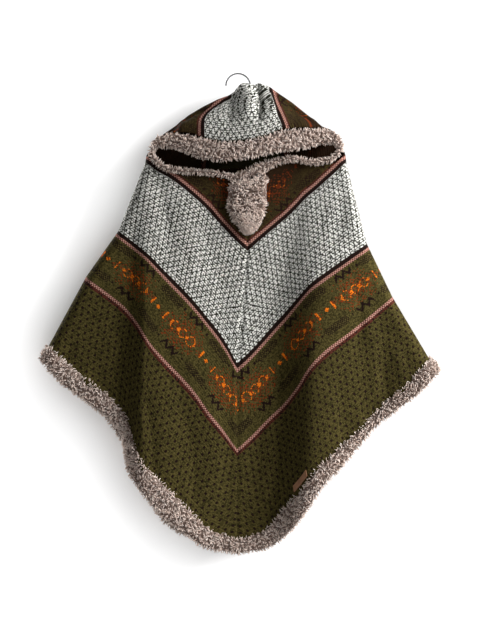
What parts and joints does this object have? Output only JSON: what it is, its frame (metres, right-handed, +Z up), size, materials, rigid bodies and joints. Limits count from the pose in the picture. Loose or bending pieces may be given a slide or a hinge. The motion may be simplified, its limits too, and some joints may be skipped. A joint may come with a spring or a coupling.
{
  "type": "hooded knitted poncho on a clothes hanger",
  "caption": "Hooded knitted poncho with slanting bands and a plush hem and hood edge, hung on a plain clothes hanger by its wire hook.",
  "frame": {"origin": "inside top of the hanger's hook, where a rail or peg carries it", "axes": "+Z up, +X to the right of a viewer facing the front, the front faces -Y"},
  "size_m": [0.8442, 0.1155, 1.0113],
  "materials": {
    "knit": "olive patterned double knit, dry and matt",
    "marl_knit": "pale grey speckled knit, dry and matt",
    "plush": "curly looped plush, soft and matt",
    "tan_leather": "tan leather, lightly waxed, blank",
    "woven_tape": "plain woven tape, blank",
    "hanger_wood": "clear varnished beech",
    "hook_steel": "bright plated steel wire"
  },
  "bodies": {
    "root": {"body_left": "knit", "body_right": "knit", "hem_trim": "plush", "hood_left": "knit", "hood_centre": "marl_knit", "hood_right": "knit", "hood_trim": "plush", "neck_tab": "plush", "hem_label": "tan_leather", "neck_label": "woven_tape", "hanger_bar": "hanger_wood", "hanger_hook": "hook_steel"}
  },
  "joints": []
}
